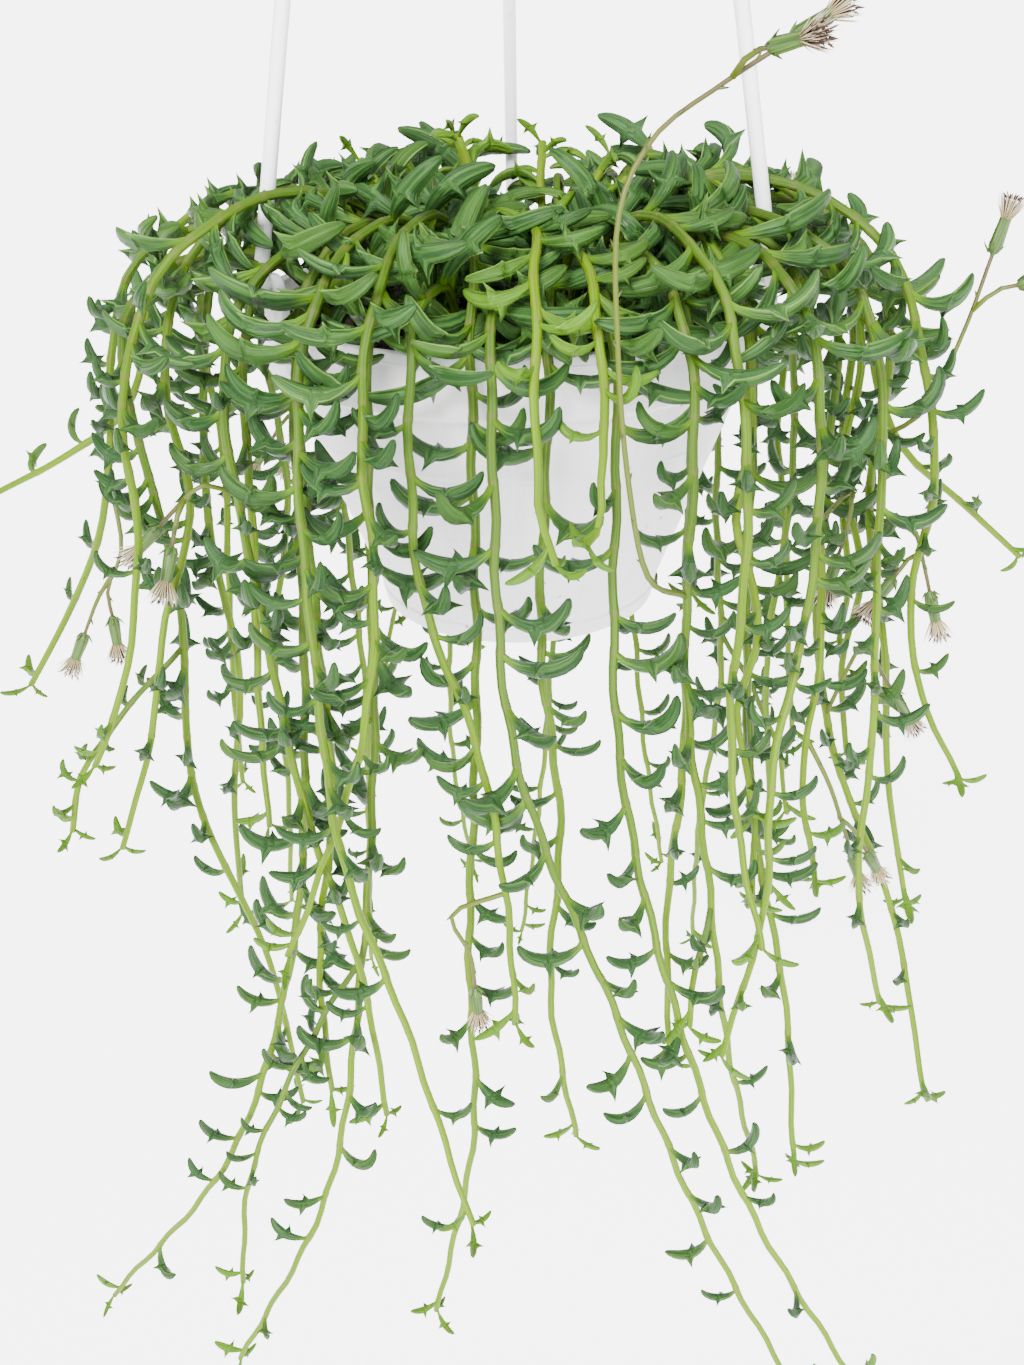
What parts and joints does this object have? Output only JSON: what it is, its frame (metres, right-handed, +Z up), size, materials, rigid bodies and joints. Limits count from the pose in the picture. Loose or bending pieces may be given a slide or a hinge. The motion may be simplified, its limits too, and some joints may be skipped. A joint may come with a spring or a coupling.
{
  "type": "hanging potted succulent",
  "caption": "String of dolphins in a round hanging pot: fleshy finned crescent leaves on trailing stems, soil, and a three-armed hanger with a hook.",
  "frame": {"origin": "hanging point: the top of the hook's inner curve, where it rests on what holds it", "axes": "+Z up, -Y towards the viewer of the picture, +X to that viewer's right; one hanger arm is at the back, on +Y"},
  "size_m": [0.3604, 0.2515, 0.8404],
  "materials": {
    "pot_plastic": "satin white moulded plastic, slightly translucent",
    "hanger_plastic": "smooth white plastic",
    "potting_soil": "dark peaty potting mix, rough",
    "foliage": "fleshy leaf, semi-gloss, with paler translucent streaks",
    "young_foliage": "younger, yellower leaf, semi-gloss"
  },
  "bodies": {
    "root": {"pot": "pot_plastic", "soil": "potting_soil", "hanger_hook": "hanger_plastic", "hanger_arm_1": "hanger_plastic", "hanger_arm_2": "hanger_plastic", "hanger_arm_3": "hanger_plastic", "shoot_01": "young_foliage", "shoot_02": "young_foliage", "shoot_03": "young_foliage", "shoot_04": "young_foliage", "shoot_05": "young_foliage", "shoot_06": "young_foliage", "shoot_07": "young_foliage", "shoot_08": "young_foliage", "strand_01": "foliage", "strand_02": "foliage", "strand_03": "foliage", "strand_04": "foliage", "strand_05": "foliage", "strand_06": "foliage", "strand_07": "foliage", "strand_08": "foliage", "strand_09": "foliage", "strand_10": "foliage", "strand_11": "foliage", "strand_12": "foliage", "strand_13": "foliage", "strand_14": "foliage", "strand_15": "foliage", "strand_16": "foliage", "strand_17": "foliage", "strand_18": "foliage", "strand_19": "foliage", "strand_20": "foliage", "strand_21": "foliage", "strand_22": "foliage", "strand_23": "foliage", "strand_24": "foliage", "strand_25": "foliage", "strand_26": "foliage", "strand_27": "foliage", "strand_28": "foliage", "strand_29": "foliage", "strand_30": "foliage", "strand_31": "foliage", "strand_32": "foliage", "strand_33": "foliage", "strand_34": "foliage", "strand_35": "foliage", "strand_36": "foliage", "strand_37": "foliage", "strand_38": "foliage", "strand_39": "foliage", "strand_40": "foliage", "strand_41": "foliage", "strand_42": "foliage", "strand_43": "foliage", "strand_44": "foliage", "strand_45": "foliage", "strand_46": "foliage"}
  },
  "joints": []
}
